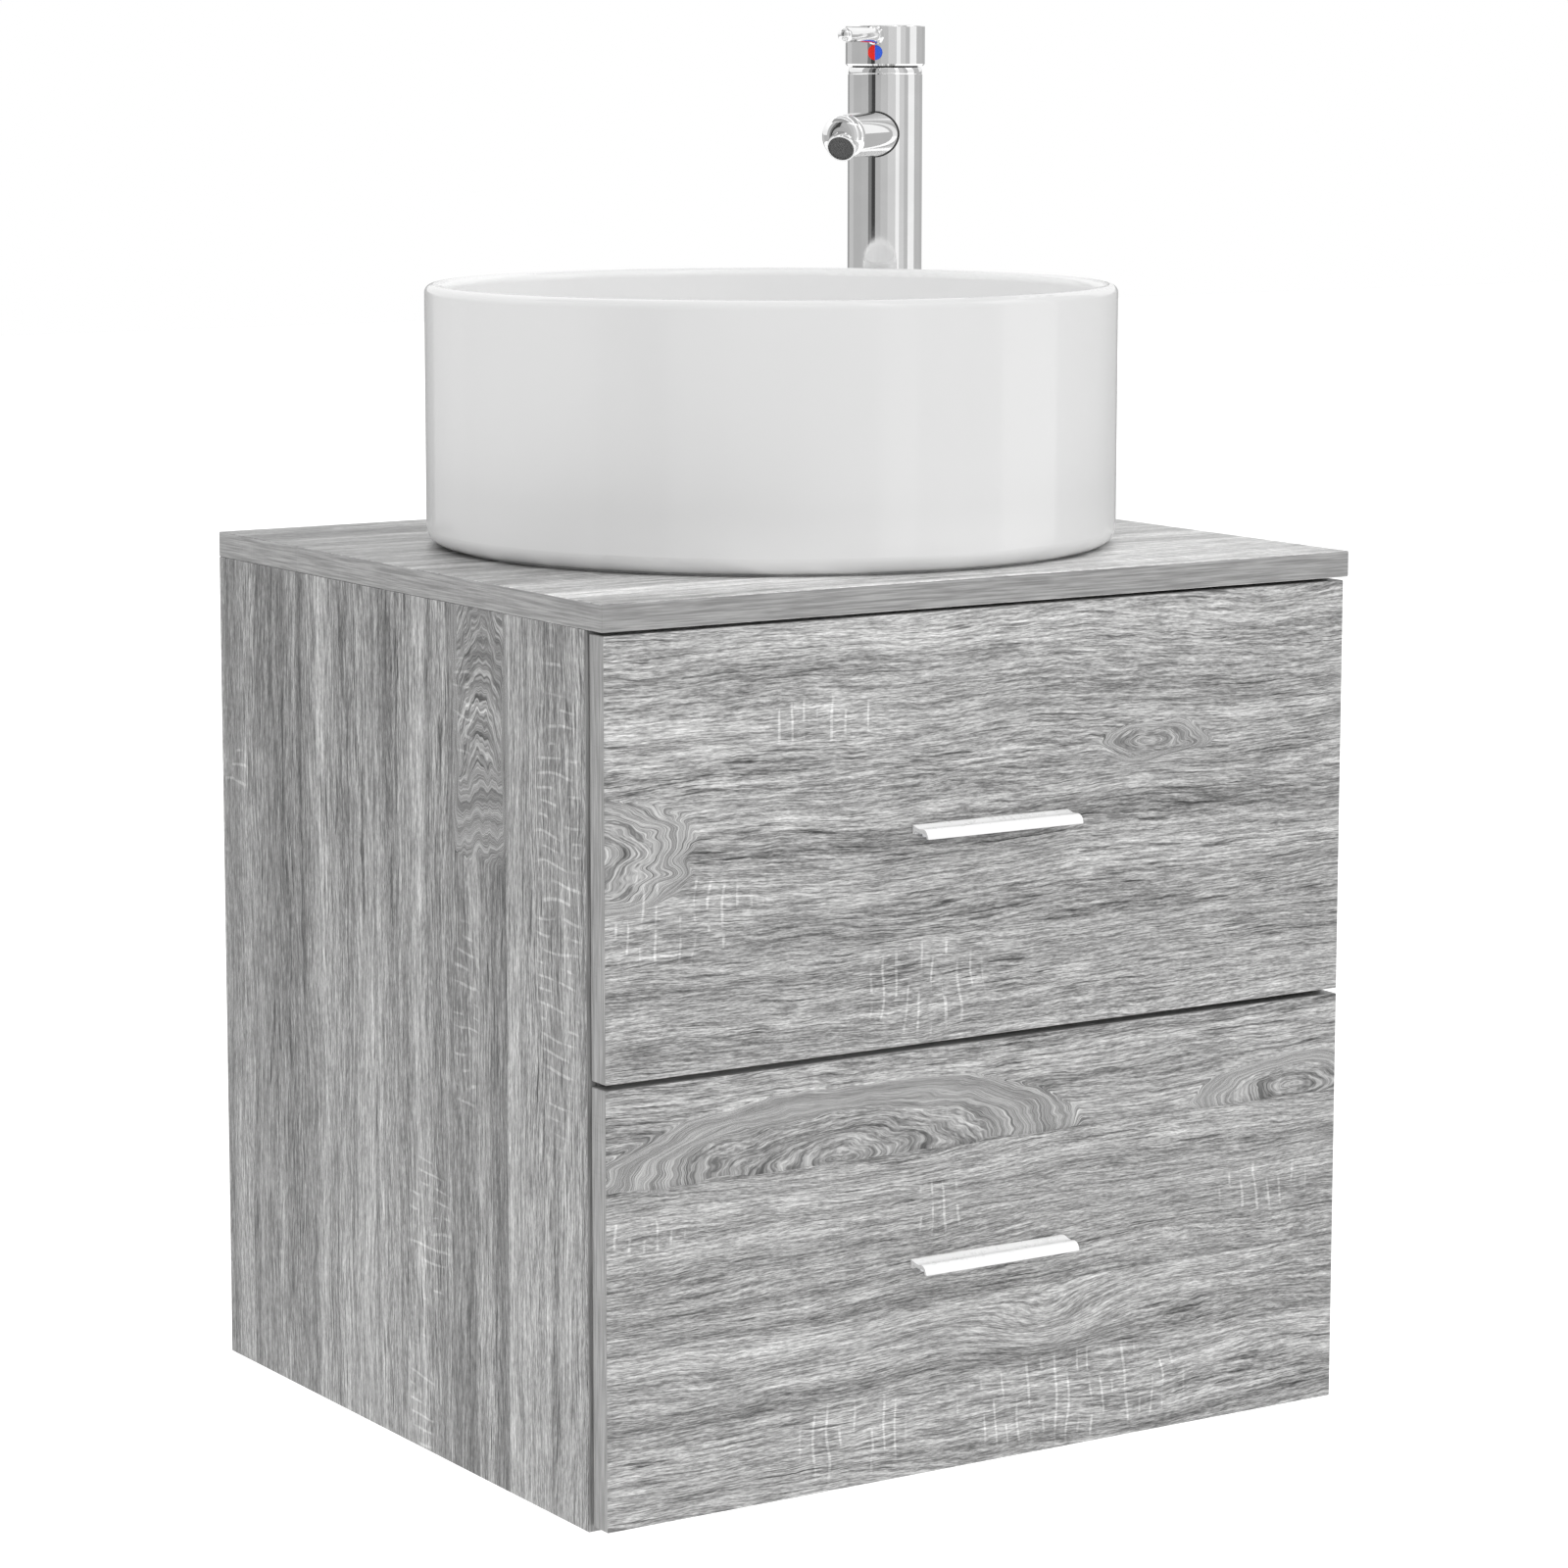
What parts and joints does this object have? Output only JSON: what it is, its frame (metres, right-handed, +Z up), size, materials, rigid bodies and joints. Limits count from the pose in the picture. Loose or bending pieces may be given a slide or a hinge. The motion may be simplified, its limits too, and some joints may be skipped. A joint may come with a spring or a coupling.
{
  "type": "vessel sink on vanity",
  "caption": "Wall-hung grey oak bathroom vanity with stacked drawers, a round white vessel basin, a tall chrome lever mixer, and its waste and bottle trap.",
  "frame": {"origin": "on the wall plane, midway between the two wall bolt holes of the upper back rail", "axes": "+X to the right seen from the front, +Y into the wall, +Z up; the drawers open towards -Y"},
  "size_m": [0.5, 0.5082, 0.8057],
  "materials": {
    "grey_oak": "printed laminate on chipboard, satin",
    "drawer_board": "white melamine on chipboard",
    "runner_white": "white powder coat",
    "roller_nylon": "nylon",
    "zinc_steel": "bright zinc plate",
    "handle_satin": "satin white anodised",
    "beech": "raw beech",
    "basin_glaze": "white gloss glaze",
    "sealant": "silicone sealant",
    "chrome": "bright chrome plate",
    "rubber_black": "moulded rubber",
    "brass_raw": "machined brass",
    "cartridge_plastic": "moulded plastic",
    "mark_enamel": "red and blue enamel halves",
    "aerator_dark": "fine dark mesh",
    "liner_plastic": "moulded polypropylene"
  },
  "bodies": {
    "cabinet": {"top_board": "grey_oak", "side_panel_left": "grey_oak", "side_panel_right": "grey_oak", "bottom_panel": "grey_oak", "back_rail_upper": "grey_oak", "back_rail_lower": "grey_oak", "wall_hanger_left": "zinc_steel", "wall_hanger_right": "zinc_steel", "carcass_dowels": "beech", "panel_screws": "zinc_steel", "upper_channel_left": "runner_white", "upper_channel_right": "runner_white", "lower_channel_left": "runner_white", "lower_channel_right": "runner_white", "basin": "basin_glaze", "basin_seal": "sealant", "waste_body": "chrome", "waste_gaskets": "rubber_black", "waste_nut": "brass_raw", "trap_inlet_tube": "chrome", "trap_nuts": "chrome", "trap_body": "chrome", "trap_cup": "chrome", "trap_outlet_pipe": "chrome", "wall_rosette": "chrome", "mixer_body": "chrome", "mixer_base_seal": "rubber_black", "mixer_dome_ring": "chrome", "mixer_spout": "chrome", "cartridge_housing": "cartridge_plastic", "aerator_housing": "chrome", "aerator_mesh": "aerator_dark", "mixer_stud": "brass_raw", "horseshoe_washer": "zinc_steel", "stud_nut": "brass_raw"},
    "upper_drawer": {"upper_drawer_front": "grey_oak", "upper_drawer_side_left": "runner_white", "upper_drawer_side_right": "runner_white", "upper_drawer_bottom": "drawer_board", "upper_drawer_back": "drawer_board", "upper_drawer_screws": "zinc_steel", "upper_handle": "handle_satin", "upper_trap_liner": "liner_plastic"},
    "lower_drawer": {"lower_drawer_front": "grey_oak", "lower_drawer_side_left": "runner_white", "lower_drawer_side_right": "runner_white", "lower_drawer_bottom": "drawer_board", "lower_drawer_back": "drawer_board", "lower_drawer_screws": "zinc_steel", "lower_handle": "handle_satin"},
    "upper_front_roller_pair": {"upper_front_rollers": "roller_nylon"},
    "upper_rear_roller_pair": {"upper_rear_rollers": "roller_nylon"},
    "lower_front_roller_pair": {"lower_front_rollers": "roller_nylon"},
    "lower_rear_roller_pair": {"lower_rear_rollers": "roller_nylon"},
    "lever_carrier": {"cartridge_carrier": "cartridge_plastic"},
    "lever_head": {"cartridge_stem": "brass_raw", "mixer_cap": "chrome", "mixer_lever": "chrome", "hot_cold_mark": "mark_enamel"},
    "drain_plug": {"waste_plug": "chrome"}
  },
  "joints": [
    {"name": "upper_drawer_slide", "type": "slide", "parent": "cabinet", "child": "upper_drawer", "axis": [0, -1, 0], "range_m": [0, 0.3]},
    {"name": "upper_front_rollers_turn", "type": "hinge", "parent": "cabinet", "child": "upper_front_roller_pair", "pos_m": [0, -0.413, -0.158], "axis": [1, 0, 0], "range_deg": [-10, 1600]},
    {"name": "upper_rear_rollers_turn", "type": "hinge", "parent": "upper_drawer", "child": "upper_rear_roller_pair", "pos_m": [0, -0.043, -0.159], "axis": [1, 0, 0], "range_deg": [-10, 1600]},
    {"name": "lower_drawer_slide", "type": "slide", "parent": "cabinet", "child": "lower_drawer", "axis": [0, -1, 0], "range_m": [0, 0.3]},
    {"name": "lower_front_rollers_turn", "type": "hinge", "parent": "cabinet", "child": "lower_front_roller_pair", "pos_m": [0, -0.413, -0.393], "axis": [1, 0, 0], "range_deg": [-10, 1600]},
    {"name": "lower_rear_rollers_turn", "type": "hinge", "parent": "lower_drawer", "child": "lower_rear_roller_pair", "pos_m": [0, -0.043, -0.394], "axis": [1, 0, 0], "range_deg": [-10, 1600]},
    {"name": "lever_turn", "type": "hinge", "parent": "cabinet", "child": "lever_carrier", "pos_m": [0.195, -0.052, 0.3445], "axis": [0, 0, 1], "range_deg": [-45, 45]},
    {"name": "lever_lift", "type": "hinge", "parent": "lever_carrier", "child": "lever_head", "pos_m": [0.195, -0.052, 0.3445], "axis": [-0.6593, 0.7518, 0], "range_deg": [0, 20]},
    {"name": "plug_lift", "type": "slide", "parent": "cabinet", "child": "drain_plug", "axis": [0, 0, 1], "range_m": [0, 0.008]}
  ],
  "couplings": [
    {"joint": "upper_front_rollers_turn", "follows": "upper_drawer_slide", "rad_per_m": 91.743},
    {"joint": "upper_rear_rollers_turn", "follows": "upper_drawer_slide", "rad_per_m": 91.743},
    {"joint": "lower_front_rollers_turn", "follows": "lower_drawer_slide", "rad_per_m": 91.743},
    {"joint": "lower_rear_rollers_turn", "follows": "lower_drawer_slide", "rad_per_m": 91.743}
  ]
}
